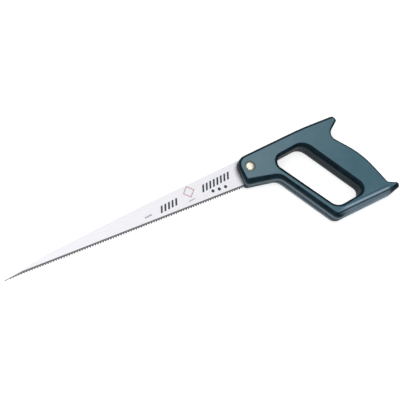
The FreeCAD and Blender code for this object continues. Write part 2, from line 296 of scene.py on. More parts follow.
def ramp(value, low, high):
    """0 below low, 1 above high, and an S-curve between."""
    t = np.clip((value - low) / (high - low), 0.0, 1.0)
    return t * t * (3.0 - 2.0 * t)


print("points round one outline corner and side", ARC_STEPS + SIDE_STEPS)

# %% [markdown]
# ## Materials
# Four finishes are enough for this saw. Moulded plastic is never quite flat: its cheeks carry a fine
# sparked grain from the mould, while the rounded edges are smoother and a little glossier. Ground steel
# has fine lines along the blade. Both patterns are noise read from Object coordinates in metres, so their
# scale is real.

# %% Node helpers
def new_finish(name, **sockets):
    """A Principled material with its uniform values set on the shader's own sockets."""
    finish = bpy.data.materials.new(name)
    finish.use_nodes = True
    shader = finish.node_tree.nodes["Principled BSDF"]
    for socket, value in sockets.items():
        shader.inputs[socket.replace("_", " ")].default_value = value
    return finish, shader


def add_node(finish, kind, **values):
    """New node in a finish. A value names either one of its properties or one of its inputs."""
    node = finish.node_tree.nodes.new(kind)
    for name, value in values.items():
        if hasattr(node, name):
            setattr(node, name, value)
        else:
            node.inputs[name.replace("_", " ")].default_value = value
    return node


def object_noise(finish, stretch, scale, detail=4.0):
    """Noise on Object coordinates, with each axis scaled on its own, in cells per metre."""
    links = finish.node_tree.links
    where = add_node(finish, "ShaderNodeTexCoord")
    mapping = add_node(finish, "ShaderNodeMapping", Scale=stretch)
    noise = add_node(finish, "ShaderNodeTexNoise", Scale=scale, Detail=detail)
    links.new(where.outputs["Object"], mapping.inputs["Vector"])
    links.new(mapping.outputs["Vector"], noise.inputs["Vector"])
    return noise.outputs["Fac"]


def spread(finish, source, low, high, start=0.35, end=0.65):
    """Stretches a pattern's start to end on to low to high."""
    node = add_node(finish, "ShaderNodeMapRange")
    for socket, value in (("From Min", start), ("From Max", end), ("To Min", low), ("To Max", high)):
        node.inputs[socket].default_value = value
    finish.node_tree.links.new(source, node.inputs["Value"])
    return node.outputs["Result"]


def two_colours(finish, source, first, second):
    """Colour that runs from first to second as the pattern runs from 0 to 1."""
    ramp_node = add_node(finish, "ShaderNodeValToRGB")
    ramp_node.color_ramp.elements[0].color = (*first, 1.0)
    ramp_node.color_ramp.elements[1].color = (*second, 1.0)
    finish.node_tree.links.new(source, ramp_node.inputs["Fac"])
    return ramp_node.outputs["Color"]


def roughen(finish, shader, source, strength, depth):
    """Bump whose height is the pattern, depth in metres."""
    bump = add_node(finish, "ShaderNodeBump", Strength=strength, Distance=depth)
    finish.node_tree.links.new(source, bump.inputs["Height"])
    finish.node_tree.links.new(bump.outputs["Normal"], shader.inputs["Normal"])


# %% Finishes
# Painted light: the cheeks run from CHEEK_PALE near the nose and the upper bar to CHEEK_DARK towards the
# butt, measured along FALL. This is a painted fall of light across the handle, with a little random tone on
# top.
CHEEK_DARK = (0.080, 0.180, 0.232)
CHEEK_PALE = (0.172, 0.278, 0.330)
FALL = (1.0, -0.8, 0.0)
FALL_START = FALL[0] * NOSE_X + FALL[1] * DATUM_Y
PALE_FROM = FALL_START + 10.0 * MM
DARK_FROM = FALL_START + 150.0 * MM
# Painted shade: the rounded edges and walls are painted near-black, where they turn away from the light.
EDGE_DARK = (0.002, 0.012, 0.020)
EDGE_PALE = (0.006, 0.024, 0.036)
# Painted highlight: this pale colour is painted on the butt's ridge and the outer walls where they catch
# light and reflect the table.
HIGHLIGHT_PAINT = (0.380, 0.520, 0.640)
TOOTH_TINT = (0.150, 0.153, 0.158)
# Painted shade: a dark line runs beside the butt's ridge on its cheek side, where the groove lies in shade.
RIDGE = ((97.4, -70.8), (162.1, -68.0))
GROOVE_SHADE_OFFSET = -2.7 * MM
GROOVE_SHADE_WIDTH = 1.15 * MM


def along_axis(finish, where, axis):
    """How far each place lies along an axis, in metres: their dot product."""
    dot = add_node(finish, "ShaderNodeVectorMath", operation="DOT_PRODUCT")
    finish.node_tree.links.new(where, dot.inputs[0])
    dot.inputs[1].default_value = axis
    return dot.outputs["Value"]


def beside_line(finish, where, line, offset, width):
    """1 on a line that runs beside the given one, fading to 0 a width away from it and past its ends.
    Distance across and along are the place's dot products with the line's normal and direction."""
    start, end = place(line)
    half = np.linalg.norm(end - start) / 2.0
    along = (end - start) / (2.0 * half)
    across = np.array([along[1], -along[0]])
    middle = (start + end) / 2.0
    factors = []
    for axis, centre, full, none in ((across, middle @ across + offset, 0.2 * MM, width),
                                     (along, middle @ along, half - 2.0 * MM, half + 3.0 * MM)):
        gap = add_node(finish, "ShaderNodeMath", operation="SUBTRACT")
        finish.node_tree.links.new(along_axis(finish, where, (*axis, 0.0)), gap.inputs[0])
        gap.inputs[1].default_value = centre
        size = add_node(finish, "ShaderNodeMath", operation="ABSOLUTE")
        finish.node_tree.links.new(gap.outputs["Value"], size.inputs[0])
        factors.append(spread(finish, size.outputs["Value"], 1.0, 0.0, full, none))
    return times(finish, *factors)


def times(finish, first, second):
    """Product of two patterns."""
    node = add_node(finish, "ShaderNodeMath", operation="MULTIPLY")
    finish.node_tree.links.new(first, node.inputs[0])
    finish.node_tree.links.new(second, node.inputs[1])
    return node.outputs["Value"]


def mix_colour(finish, factor, first, second):
    """Colour that runs from first to second with the factor. Either end may be a socket or a plain colour."""
    node = add_node(finish, "ShaderNodeMix", data_type="RGBA")
    finish.node_tree.links.new(factor, node.inputs["Factor"])
    for socket, colour in ((node.inputs[6], first), (node.inputs[7], second)):
        if isinstance(colour, tuple):
            socket.default_value = (*colour, 1.0)
        else:
            finish.node_tree.links.new(colour, socket)
    return node.outputs[2]


def moulded_plastic():
    """Blue-grey plastic with grained cheeks and smoother edges. Its colour holds painted light: the cheeks
    are painted paler towards the nose and the upper bar and darker towards the butt, the edges are painted
    near-black as shade, dark lines beside the butt's ridge are painted shade, and a pale colour is painted on
    the ridge and outer walls as highlight and reflection."""
    finish, shader = new_finish("moulded_plastic", IOR=1.45, Specular_IOR_Level=0.14)
    links = finish.node_tree.links
    cloud = spread(finish, object_noise(finish, (1, 1, 1), 90.0, 3.0), 0.0, 1.0)
    cheek = add_node(finish, "ShaderNodeAttribute", attribute_name="cheek").outputs["Fac"]
    worn = add_node(finish, "ShaderNodeAttribute", attribute_name="worn").outputs["Fac"]
    where = add_node(finish, "ShaderNodeTexCoord").outputs["Object"]
    # Painted shade: the cheek mask is lowered along a line beside the ridge, so the groove there reads dark.
    groove = beside_line(finish, where, RIDGE, GROOVE_SHADE_OFFSET, GROOVE_SHADE_WIDTH)
    cheek = times(finish, cheek, spread(finish, groove, 1.0, 0.45, 0.0, 1.0))
    # Painted light: paler towards the nose and the upper bar, darker towards the butt.
    painted_light_fall = spread(finish, along_axis(finish, where, FALL), 0.0, 0.86, DARK_FROM, PALE_FROM)
    shade = add_node(finish, "ShaderNodeMath", operation="MULTIPLY_ADD")
    links.new(cloud, shade.inputs[0])
    shade.inputs[1].default_value = 0.14
    links.new(painted_light_fall, shade.inputs[2])
    # Painted shade: near-black on the rounded edges and walls, with a little random tone.
    edges = two_colours(finish, cloud, EDGE_DARK, EDGE_PALE)
    cheeks = two_colours(finish, shade.outputs["Value"], CHEEK_DARK, CHEEK_PALE)
    plain = mix_colour(finish, cheek, edges, cheeks)
    # The pale colour is painted over the plastic along the ridge and the outer walls, as painted highlight
    # and reflection.
    links.new(mix_colour(finish, worn, plain, HIGHLIGHT_PAINT), shader.inputs["Base Color"])
    links.new(spread(finish, cheek, 0.50, 0.42, 0.0, 1.0), shader.inputs["Roughness"])
    grain = object_noise(finish, (1, 1, 1), 1500.0, 6.0)
    depth = times(finish, grain, spread(finish, cheek, 0.15, 1.0, 0.0, 1.0))
    roughen(finish, shader, depth, 0.35, 0.06 * MM)
    return finish


def ground_steel():
    """Satin steel with lines ground along the blade, darker along the tooth strip."""
    finish, shader = new_finish("ground_steel", Metallic=1.0)
    links = finish.node_tree.links
    lines = object_noise(finish, (0.02, 1.0, 1.0), 2600.0, 5.0)
    ground = two_colours(finish, spread(finish, lines, 0.0, 1.0), (0.80, 0.79, 0.83), (0.93, 0.92, 0.96))
    mask = add_node(finish, "ShaderNodeAttribute", attribute_name="teeth")
    links.new(mix_colour(finish, mask.outputs["Fac"], ground, TOOTH_TINT), shader.inputs["Base Color"])
    links.new(spread(finish, lines, 0.34, 0.46), shader.inputs["Roughness"])
    roughen(finish, shader, lines, 0.12, 0.02 * MM)
    return finish


def turned_brass(name, dull, bright, smooth, rough):
    """Brass whose colour and polish vary in soft blots."""
    finish, shader = new_finish(name, Metallic=1.0)
    links = finish.node_tree.links
    blot = object_noise(finish, (1, 1, 1), 420.0, 4.0)
    links.new(two_colours(finish, spread(finish, blot, 0.0, 1.0), dull, bright), shader.inputs["Base Color"])
    links.new(spread(finish, blot, smooth, rough), shader.inputs["Roughness"])
    roughen(finish, shader, object_noise(finish, (1, 1, 1), 5000.0), 0.1, 0.01 * MM)
    return finish


def zinc_plate():
    """Bright zinc, whose tone and polish vary from crystal to crystal."""
    finish, shader = new_finish("zinc_plate", Metallic=1.0)
    links = finish.node_tree.links
    crystals = object_noise(finish, (1, 1, 1), 900.0, 3.0)
    links.new(two_colours(finish, spread(finish, crystals, 0.0, 1.0), (0.55, 0.56, 0.58), (0.70, 0.71, 0.74)),
              shader.inputs["Base Color"])
    links.new(spread(finish, crystals, 0.25, 0.42), shader.inputs["Roughness"])
    return finish


def printing_ink(name, thin, full):
    """Screen-printed ink, thinner in places so that the steel's brightness comes through."""
    finish, shader = new_finish(name, Roughness=0.55)
    patches = spread(finish, object_noise(finish, (1, 1, 1), 1600.0, 3.0), 0.0, 1.0)
    finish.node_tree.links.new(two_colours(finish, patches, thin, full), shader.inputs["Base Color"])
    return finish


PLASTIC = moulded_plastic()
STEEL = ground_steel()
# Painted light on the brass: the screw's brass is near-white and stands in for its highlight. The cup and nut
# share a dark brass that stands in for shade.
LIT_BRASS = turned_brass("brass_painted_lit", (0.88, 0.84, 0.70), (0.96, 0.95, 0.86), 0.22, 0.38)
SHADED_BRASS = turned_brass("brass_painted_shade", (0.22, 0.20, 0.14), (0.36, 0.32, 0.23), 0.34, 0.48)
ZINC = zinc_plate()
DARK_INK = printing_ink("dark_ink", (0.05, 0.075, 0.10), (0.02, 0.035, 0.05))
RED_INK = printing_ink("red_ink", (0.75, 0.50, 0.50), (0.62, 0.33, 0.34))
PALE_INK = printing_ink("pale_ink", (0.62, 0.60, 0.64), (0.42, 0.41, 0.46))
print("finishes", sorted(m.name for m in bpy.data.materials))


def settle(piece, finish, body, slot, *nodes):
    """Gives the piece its finish, lets it ride on its body and stand for its CAD nodes."""
    piece.data.materials.clear()
    piece.data.materials.append(finish)
    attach(piece, body)
    if nodes:
        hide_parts(*nodes)
    size = np.array(piece.dimensions) / MM
    print(piece.name, "mm", [round(float(v), 2) for v in size], "faces", len(piece.data.polygons))
    return piece


# %% [markdown]
# ## The handle's outline
# The handle is a flat plate with generously rounded edges, so two outlines describe it: the wall, which
# is the widest line round it, and the cheek, where the flat begins. The corners of the two lists match
# one to one. The distance between them is the rounding's width, which is small on top and large where
# the palm and fingers wrap round the grip.

# %% Outlines of the handle: x back from the nose, y up from the teeth, corner radius, in millimetres
WALL_LINE = [(0, 31.6, 12), (0, -2, 5), (41.7, -8.3, 15), (84.8, -79.8, 10), (163, -74.9, 20),
             (177, -71, 3.2), (177, -66, 3.2), (164.3, -61, 4), (149.7, -16.7, 110), (120.4, 18.7, 9),
             (140, 33, 3.2), (136.5, 39.6, 3.4), (92.5, 39.1, 400)]
CHEEK_LINE = [(2.8, 28.2, 9.5), (2.8, 6.8, 2), (42.9, -1.58, 17), (86.2, -70.4, 3.5), (161, -65.7, 12),
              (170.5, -66.2, 0.3), (170.9, -65.4, 0.3), (161.2, -62.3, 7), (146.7, -18.4, 106),
              (116.1, 18.8, 12), (135.4, 33.7, 0.8), (133.9, 35.9, 1), (92.6, 35.5, 396)]
GRIP_HOLE = [(41.0, 14.4, 8), (84.7, 19.9, 15), (133.7, -60.6, 8), (91.8, -65.8, 14)]
GRIP_CHEEK = [(31.5, 18.2, 13.5), (88.4, 25.4, 20.5), (141.9, -62.6, 12.5), (87.9, -69.3, 18)]
HALF = (CHEEK_Z - REST_Z) / 2.0
JOINT_CHAMFER = 0.35 * MM
ROUND_STEPS = 30
FLAT_RIM = 0.4 * MM
MAX_ROUND = 8.0 * MM
BUTT_MIDDLE = (129.0, -70.5)
BUTT_REACH = 38.0


def edge_skin(wall, cheek, side, bead=0.0):
    """Strip from the joint line to the cheek of one shell.
    The wall stands up to z = half - h. A quarter ellipse carries it over: across, u = 1 - cos(t) of the way
    from wall line to cheek line; upward, h * sin(t). h grows with the width w as 1 mm + 0.85 w, at most 8 mm.
    A bead along the butt is a groove and a ridge: two bell curves in u, pushed out along the surface normal,
    and faded out along x away from the butt's middle."""
    wall, cheek = place(rounded_loop(wall)), place(rounded_loop(cheek))
    step = cheek - wall
    width = np.linalg.norm(step, axis=1)
    inward = step / width[:, None]
    height = np.minimum(1.0 * MM + 0.85 * width, MAX_ROUND)
    t = np.linspace(0.0, np.pi / 2.0, ROUND_STEPS)
    u = 1.0 - np.cos(t)
    push = -0.6 * np.exp(-((u - 0.50) / 0.09) ** 2) + 0.45 * np.exp(-((u - 0.72) / 0.11) ** 2)
    middle = place(BUTT_MIDDLE)
    near = 1.0 - ramp(np.abs(wall[:, 0] - middle[0]) / MM, BUTT_REACH, BUTT_REACH + 8.0)
    near = near * (wall[:, 1] < middle[1] + 6.0 * MM) * bead
    rows = wall[None] + step[None] * u[:, None, None]
    rows = rows - inward[None] * (np.cos(t)[:, None] * push[:, None] * near[None, :] * MM)[..., None]
    rise = HALF - height[None, :] + height[None, :] * np.sin(t)[:, None]
    rise = rise + np.sin(t)[:, None] * push[:, None] * near[None, :] * MM
    foot = [wall + inward * JOINT_CHAMFER, wall]
    flat = np.concatenate([np.stack(foot), rows, (cheek + inward * FLAT_RIM)[None]])
    flat = np.clip(flat, left_low[:2], left_high[:2])
    level = np.concatenate([np.zeros((1, len(wall))), np.full((1, len(wall)), JOINT_CHAMFER),
                            np.minimum(rise, HALF), np.full((1, len(wall)), HALF)])
    return np.concatenate([flat, (JOINT_Z + side * level)[..., None]], -1)


# %% [markdown]
# ## The two shells
# The handle is moulded as two halves that meet on the blade's mid-plane. The near half has a sunk seat
# for the brass cup washer, and the far half has one for the nut. Each seat is a turned profile whose rim
# becomes a hole in the flat cheek. The slot for the tang and the four wells for the screws that hold the
# halves together are cut afterwards, because they run across edges that are already rounded.

# %% Shells
SCREW_SEAT = 6.15 * MM
WASHER_SINK = 1.8 * MM
NUT_SINK = 2.0 * MM
BARREL_BORE = 3.6 * MM
SHELL_SCREW_SPOTS = [(32.5, 1.5), (119.5, 26.5), (149.5, -65.0), (86.1, -69.6)]
HEAD_BORE = 3.3 * MM
SHANK_BORE = 1.85 * MM
HEAD_SEAT = 4.2 * MM
TANG_END = 39.5
TANG_LOW, TANG_TOP = 6.0, 27.0
TANG_PLAY = 0.3
SEAT_BREAK = 0.2 * MM


def sunk_seat(x, y, bore, radius, depth, side):
    """Profile from the joint plane up a bore, across the seat, up its wall and over a small chamfer."""
    rim = radius + SEAT_BREAK
    profile = [(bore, 0.0), (bore, HALF - depth), (radius, HALF - depth), (radius, HALF - SEAT_BREAK),
               (rim, HALF), (rim + FLAT_RIM, HALF)]
    return turned_grid([(r, JOINT_Z + side * z) for r, z in profile], x, y)


# Painted highlight and reflection: the width of the ridge's painted highlight, the painted reflection on the
# wall beyond it, and the strength, height and width of a faint painted highlight band round the outer walls.
RIDGE_WIDTH = 1.35
WALL_REFLECTION = 0.42
BAND_HIGHLIGHT = 0.34
BAND_HEIGHT = 6.2
BAND_WIDTH = 1.7


def in_grip(points):
    """1 for points nearer the hand hole's wall line than the outer one, else 0."""
    outer, hole = place(rounded_loop(WALL_LINE)), place(rounded_loop(GRIP_HOLE))
    gaps = [np.linalg.norm(points[:, None, :2] - loop[None], axis=2).min(1) for loop in (outer, hole)]
    return (gaps[1] < gaps[0]).astype(float)


def add_skin_masks(piece):
    """Two attributes. cheek is 1 on the flat cheeks and 0 on the walls: the upright part of the normal, taken
    from 0.965 to 0.998, less a line of painted shade along the foot of the butt's ridge. The second is
    painted highlight and reflection: a bell curve across that ridge, a painted reflection under half as much
    from there outwards, and a faint painted highlight round the outer wall where each half's rounding starts."""
    count = len(piece.data.vertices)
    normals = np.empty(count * 3, np.float32)
    points = np.empty(count * 3, np.float32)
    piece.data.vertex_normals.foreach_get("vector", normals)
    piece.data.vertices.foreach_get("co", points)
    cheek = ramp(np.abs(normals.reshape(-1, 3)[:, 2]), 0.965, 0.998)
    flat = np.abs(points.reshape(-1, 3)[:, 2] - JOINT_Z) > HALF - 0.002 * MM
    cheek = np.where(flat, 1.0, cheek)
    start, end = place(RIDGE)
    along = (end - start) / np.linalg.norm(end - start)
    offset = points.reshape(-1, 3)[:, :2] - start
    run = offset @ along / MM
    out = (offset @ np.array([along[1], -along[0]])) / MM
    length = np.linalg.norm(end - start) / MM
    ends = ramp(run, -5.0, 1.0) * (1.0 - ramp(run, length - 3.0, length + 1.5))
    # Painted shade: a dark line along the outer foot of the butt's ridge, taken off both masks.
    below = np.exp(-((out - 2.2) / 0.7) ** 2)
    worn = ends * (np.exp(-(out / RIDGE_WIDTH) ** 2) + WALL_REFLECTION * ramp(out, 1.8, 3.2)) * (1.0 - 0.8 * below)
    cheek = cheek * (1.0 - 0.8 * ends * below)
    height = (points.reshape(-1, 3)[:, 2] - JOINT_Z) / MM
    inside = in_grip(points.reshape(-1, 3))
    # Painted highlight: a faint light band round each half's outer wall, kept out of the hand hole.
    band = BAND_HIGHLIGHT * np.exp(-((np.abs(height) - BAND_HEIGHT) / BAND_WIDTH) ** 2) * (1.0 - inside)
    worn = np.maximum(worn, band)
    for name, mask in (("cheek", cheek), ("worn", worn)):
        piece.data.attributes.new(name, "FLOAT", "POINT").data.foreach_set("value", mask.astype(np.float32))


def screw_well(x, y, side):
    """Closed plug to cut one shell screw's hole: its shank bore through the joint plane, its head bore out
    through the cheek. Three of the wells run over the cheek's edge, so they are cut and not joined."""
    profile = [(0.0, -1.0 * MM), (SHANK_BORE, -1.0 * MM), (SHANK_BORE, HALF - HEAD_SEAT),
               (HEAD_BORE, HALF - HEAD_SEAT), (HEAD_BORE, HALF + 1.0 * MM), (0.0, HALF + 1.0 * MM)]
    return new_piece("well", [(turned_grid([(r, JOINT_Z + side * z) for r, z in profile], x, y, 64), True)])


def handle_shell(name, side, seat, wells=()):
    """One half: edge strips round the outside and the hand hole, the screw's seat, the flats between them,
    then the cuts for the tang and the shell screws. Side is 1 for the near half and -1 for the far one."""
    surfaces = [(edge_skin(WALL_LINE, CHEEK_LINE, side, bead=1.0), True),
                (edge_skin(GRIP_HOLE, GRIP_CHEEK, side), True)]
    surfaces.append((sunk_seat(*seat, side), True))
    shell = new_piece(name, surfaces, levels=(JOINT_Z, JOINT_Z + side * HALF))
    low = place((-1.0, TANG_LOW - TANG_PLAY))
    high = place((TANG_END + 0.5, TANG_TOP + TANG_PLAY))
    play = BLADE_HALF + 0.1 * MM
    cut(shell, block("tang_slot", (*low, JOINT_Z - play), (*high, JOINT_Z + play)))
    for well in wells:
        cut(shell, screw_well(*place(well), side))
    add_skin_masks(shell)
    return shell


left_shell = handle_shell("handle_near_half", 1.0, (SCREW_X, SCREW_Y, BARREL_BORE, SCREW_SEAT, WASHER_SINK))
right_shell = handle_shell("handle_far_half", -1.0, (SCREW_X, SCREW_Y, BARREL_BORE, SCREW_SEAT, NUT_SINK),
                           SHELL_SCREW_SPOTS)
settle(left_shell, PLASTIC, "handle", "handle_plastic", "handle_left_shell")
settle(right_shell, PLASTIC, "handle", "handle_plastic", "handle_right_shell")

# %% [markdown]
# ## The blade
# A strip of spring steel 1 mm thick, straight along the teeth and slowly curved along the back. The
# teeth are set, which means bent to one side and the other in turn, so that they cut a slot wider than
# the blade. The tooth zone is a grid that follows the saw-tooth line; everything above it is one flat
# face. Behind the shoulder the blade goes on as a forked tang, which straddles the screw.

# %% Blade
PITCH = 25.4 / 8.0
TOOTH_COUNT = 93
FIRST_TIP = -1.3
GULLET_SHARE = 0.35
TOOTH_DEPTH = 2.2
TOOTH_SET = 0.26
STRIP_RISE = 1.2
STRIP_FADE = 0.35
TOE_TAPER = 10.0
CREASE_SHARE = 0.6
GULLET_LIMIT = 0.4
BLADE_SHARP = math.radians(9.0)
FLEAM = 0.28
TOE = -300.5
HEEL = -0.3
TOOTH_LINE = (blade_low.y - DATUM_Y) / MM
TOE_BACK = -0.4
PRONG_HALF = 3.7
SHOULDER_CENTRE = (12.0, 20.53)
SHOULDER_RADIUS = 12.3
SHOULDER_TOP = (7.5, 31.98)
BACK_LINE = [(TOE, TOOTH_LINE, 0), (SHOULDER_TOP[0], TOOTH_LINE, 0), (*SHOULDER_TOP, 0), (-122.5, 22.3, 900),
             (-247.5, 9.9, 300), (TOE, TOE_BACK, 0)]


def back_height(x):
    """Height of the blade's back above the teeth, read off its rounded outline."""
    stride = ARC_STEPS + SIDE_STEPS
    upper = rounded_loop(BACK_LINE)[2 * stride + ARC_STEPS - 1:5 * stride + 1][::-1]
    return np.interp(x, upper[:, 0], upper[:, 1])


def crease_height(x):
    """Upper edge of the tooth strip: a fixed rise above the gullets, but at most a share of the blade."""
    return TOOTH_LINE + np.minimum(TOOTH_DEPTH + STRIP_RISE, CREASE_SHARE * (back_height(x) - TOOTH_LINE))


def tooth_line():
    """Saw-tooth edge from toe to heel as (x, y, set). Tip k lies k pitches from the first, on the tooth line.
    Its gullet lies a share of a pitch nearer the toe, at the tooth's depth, which fades out towards the toe
    and is never more than a set share of the blade's height.
    Set is +1 or -1 at the tips in turn and 0 in the gullets."""
    tip = FIRST_TIP - PITCH * np.arange(TOOTH_COUNT)
    depth = TOOTH_DEPTH * np.minimum(1.0, (tip - TOE) / TOE_TAPER)
    gullet = tip - GULLET_SHARE * PITCH
    depth = np.minimum(depth, GULLET_LIMIT * (back_height(gullet) - TOOTH_LINE))
    x = np.stack([tip, gullet], -1)
    y = TOOTH_LINE + np.stack([np.zeros(TOOTH_COUNT), depth], -1)
    bend = np.stack([np.where(np.arange(TOOTH_COUNT) % 2 == 0, 1.0, -1.0), np.zeros(TOOTH_COUNT)], -1)
    x, y, bend = x.ravel()[::-1], y.ravel()[::-1], bend.ravel()[::-1]
    heel_height = TOOTH_LINE + TOOTH_DEPTH * (HEEL - FIRST_TIP) / (PITCH * (1.0 - GULLET_SHARE))
    x, y, bend = np.append(x, HEEL), np.append(y, heel_height), np.append(bend, 0.0)
    return np.insert(x, 0, TOE), np.insert(y, 0, TOOTH_LINE), np.insert(bend, 0, 0.0)


def blade_surfaces():
    """Tooth strip, wall strip and the two levels left open for the flat faces.
    The tooth strip runs from above the crease on one face, round the teeth's edge, to the same on the other.
    A tip moves sideways by set, and its two faces are filed askew along x by the fleam."""
    x, y, bend = tooth_line()
    high = back_height(x) - TOOTH_LINE
    crease = crease_height(x)
    lean = bend * TOOTH_SET * np.minimum(1.0, high / 6.0)
    thick = BLADE_HALF / MM
    skew = 0.5 * FLEAM * bend
    fade = crease + STRIP_FADE
    strip = np.stack([np.stack([x, fade, np.full_like(x, thick)], -1),
                      np.stack([x, crease, np.full_like(x, thick)], -1),
                      np.stack([x + skew, y, thick + lean], -1),
                      np.stack([x - skew, y, -thick + lean], -1),
                      np.stack([x, crease, np.full_like(x, -thick)], -1),
                      np.stack([x, fade, np.full_like(x, -thick)], -1)])
    top_x = np.linspace(TOE, HEEL, 90)
    back_curve = np.stack([top_x, back_height(top_x)], -1)
    screw_x = (SCREW_X - NOSE_X) / MM
    screw_y = (SCREW_Y - DATUM_Y) / MM
    swing = np.linspace(np.pi / 2.0, 3.0 * np.pi / 2.0, 40)
    fork = np.stack([screw_x + PRONG_HALF * np.cos(swing), screw_y + PRONG_HALF * np.sin(swing)], -1)
    start = math.atan2(SHOULDER_TOP[1] - SHOULDER_CENTRE[1], SHOULDER_TOP[0] - SHOULDER_CENTRE[0])
    finish = math.pi - math.asin((TANG_TOP - SHOULDER_CENTRE[1]) / SHOULDER_RADIUS)
    sweep = np.linspace(start, finish, 10)
    shoulder = np.stack([SHOULDER_CENTRE[0] + SHOULDER_RADIUS * np.cos(sweep),
                         SHOULDER_CENTRE[1] + SHOULDER_RADIUS * np.sin(sweep)], -1)
    upper = [(TANG_END - 3.0, TANG_TOP), (TANG_END, TANG_TOP - 3.0), (TANG_END, fork[0, 1])]
    lower = [(TANG_END, fork[-1, 1]), (TANG_END, TANG_LOW + 3.0), (TANG_END - 3.0, TANG_LOW),
             (HEEL, TANG_LOW)]
    toe = [[x[0], y[0]], [x[0], crease[0]], [x[0], fade[0]]]
    heel = [[x[-1], fade[-1]], [x[-1], crease[-1]], [x[-1], y[-1]]]
    wall = np.concatenate([toe, back_curve, shoulder, upper, fork, lower, heel])
    sides = np.stack([np.column_stack([wall, np.full(len(wall), z)]) for z in (thick, -thick)])
    return strip, sides


def in_place(grid):
    """Drawing millimetres with a height above the mid-plane, to metres in the row frame."""
    return np.concatenate([place(grid), JOINT_Z + grid[..., 2:] * MM], -1)


def add_tooth_mask(piece):
    """Attribute that is 1 up to the crease and 0 just above it: the darker tooth strip."""
    points = np.empty(len(piece.data.vertices) * 3, np.float32)
    piece.data.vertices.foreach_get("co", points)
    points = points.reshape(-1, 3)
    above = (points[:, 1] - DATUM_Y) / MM - crease_height((points[:, 0] - NOSE_X) / MM)
    mask = np.where(points[:, 0] < NOSE_X, 1.0 - ramp(above, 0.02, STRIP_FADE - 0.02), 0.0)
    piece.data.attributes.new("teeth", "FLOAT", "POINT").data.foreach_set("value", mask.astype(np.float32))


strip, sides = blade_surfaces()
saw_blade = new_piece("saw_blade", [(in_place(strip), False), (in_place(sides), False)],
                      levels=(blade_low.z, blade_high.z), sharp=BLADE_SHARP)
add_tooth_mask(saw_blade)
settle(saw_blade, STEEL, "blade", "blade_steel", "blade")

# %% [markdown]
# ## Brass screw, cup washer and nut, and the shell screws
# Turned parts are a profile swung about an upright line. The screw's thread is a second profile whose
# radius rises and falls as it climbs: the ridge's phase is the height over the pitch, less the turn.

# %% Turned hardware
THREAD_PITCH = 0.8 * MM
THREAD_DEPTH = 0.35 * MM
THREAD_STEPS = 10
washer_low, washer_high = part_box("cup_washer")
screw_low, screw_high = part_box("blade_screw")
CUP_BORE, CUP_LIP = 2.9 * MM, 4.68 * MM
SEAT_FOOT, SEAT_RIM = washer_low.z + 0.1 * MM, washer_high.z - 0.08 * MM
SEAT_PLAY = 0.015 * MM


def seat_height(radius):
    """Height of the cup's dished seat, a straight line from its foot at the bore to its rim at the lip. The
    screw's cone follows the same line, so the two meet without cutting into each other."""
    return SEAT_FOOT + (radius - CUP_BORE) * (SEAT_RIM - SEAT_FOOT) / (CUP_LIP - CUP_BORE)


def threaded_grid(radius, low, high, x, y, pitch=THREAD_PITCH, depth=THREAD_DEPTH, steps=48, fade=0.8 * MM):
    """Shank with a helical ridge: radius - depth * (1 + cos(2 pi (z / pitch - turn))) / 2.
    The ridge fades in and out at both ends."""
    rows = max(2, int(round((high - low) / pitch * THREAD_STEPS)))
    z = np.linspace(low, high, rows)[:, None]
    angle = np.linspace(0.0, 2.0 * np.pi, steps, endpoint=False)[None, :]
    wave = 0.5 + 0.5 * np.cos(2.0 * np.pi * (z - low) / pitch - angle)
    fading = np.clip(np.minimum(z - low, high - z) / fade, 0.0, 1.0)
    reach = radius - depth * (1.0 - fading + fading * wave)
    height = np.broadcast_to(z, reach.shape)
    return np.stack([x + reach * np.cos(angle), y + reach * np.sin(angle), height], -1)


def brass_screw():
    """Slotted dome head on a cone, a plain neck and a threaded shank."""
    head, shank, dome = 4.5 * MM, 2.45 * MM, 0.45 * MM
    top = screw_high.z
    t = np.linspace(0.0, 1.0, 12)
    arch = [(head * 0.97 * (1.0 - v), top - dome * (1.0 - v) ** 2) for v in t]
    rim = top - dome - 0.12 * MM
    cone = seat_height(head) + SEAT_PLAY
    neck = seat_height(shank) + SEAT_PLAY
    first = screw_low.z + 0.6 * MM
    last = neck - 0.8 * MM
    core = shank - THREAD_DEPTH
    profile = [(0.0, screw_low.z), (core - 0.5 * MM, screw_low.z), (core, first)]
    upper = [(core, last), (shank, last + 0.25 * MM), (shank, neck), (head, cone), (head, rim)] + arch
    grids = [turned_grid(profile, SCREW_X, SCREW_Y, 48), threaded_grid(shank, first, last, SCREW_X, SCREW_Y),
             turned_grid(upper, SCREW_X, SCREW_Y, 48)]
    piece = new_piece("brass_screw", [(grid, True) for grid in grids], sharp=TURNED_SHARP)
    turn = math.radians(20.0)
    low = (SCREW_X - 6 * MM, SCREW_Y - 0.65 * MM, top - 0.9 * MM)
    high = (SCREW_X + 6 * MM, SCREW_Y + 0.65 * MM, top + 1.0 * MM)
    return cut(piece, block("screw_slot", low, high, turn, (SCREW_X, SCREW_Y)))


def cup():
    """Flat ring with a dished seat that matches the screw's cone, and a rounded rim."""
    low, high = washer_low.z, washer_high.z
    outer = 6.0 * MM
    t = np.linspace(0.0, np.pi / 2.0, 8)
    rim = [(outer - 0.5 * MM + 0.5 * MM * math.cos(v), high - 0.5 * MM + 0.5 * MM * math.sin(v)) for v in t]
    profile = [(CUP_BORE, low), (outer - 0.2 * MM, low), (outer, low + 0.2 * MM)] + rim
    profile += [(CUP_LIP + 0.12 * MM, high), (CUP_LIP, SEAT_RIM), (CUP_BORE, SEAT_FOOT), (CUP_BORE, low)]
    return new_piece("brass_cup", [(turned_grid(profile, SCREW_X, SCREW_Y), True)], sharp=TURNED_SHARP)


